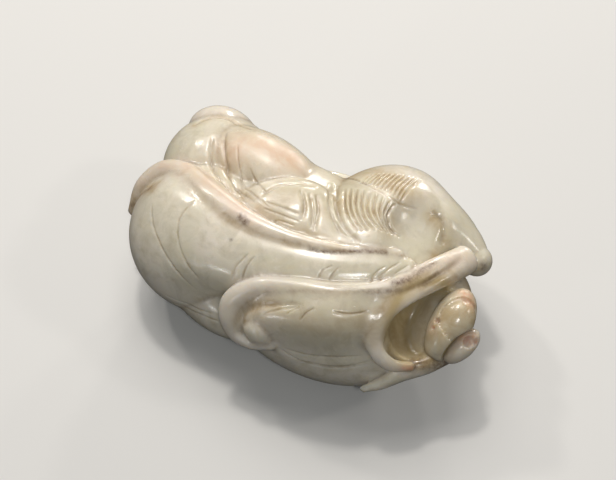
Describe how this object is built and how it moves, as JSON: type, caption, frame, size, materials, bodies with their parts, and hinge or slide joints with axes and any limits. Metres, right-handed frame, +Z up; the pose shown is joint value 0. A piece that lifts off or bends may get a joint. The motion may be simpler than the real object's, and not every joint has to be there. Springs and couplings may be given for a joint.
{
  "type": "jade figurine",
  "caption": "Palm-sized jade carving of curled leaves with rolled rims around a cup-shaped hollow holding a seed; rests on a small flat underneath.",
  "frame": {"origin": "centre of the carving's box seen from above, at the level of the flat it rests on", "axes": "+X along the carving towards the open cup, +Y towards the hooked leaf's back, +Z up"},
  "size_m": [0.0672, 0.0438, 0.027],
  "materials": {
    "jade": "polished"
  },
  "bodies": {
    "root": {"heart": "jade", "left_leaf": "jade", "left_leaf_rim": "jade", "front_leaf": "jade", "front_leaf_rim": "jade", "leaf_knob": "jade", "back_leaf": "jade", "back_leaf_tip": "jade", "shoulder_leaf": "jade", "inner_leaf": "jade", "hooked_leaf": "jade", "cup": "jade", "cup_rim": "jade", "seed": "jade", "small_bud": "jade", "under_leaf": "jade", "base_leaf": "jade", "rear_leaf": "jade", "rear_leaf_rim": "jade"}
  },
  "joints": []
}
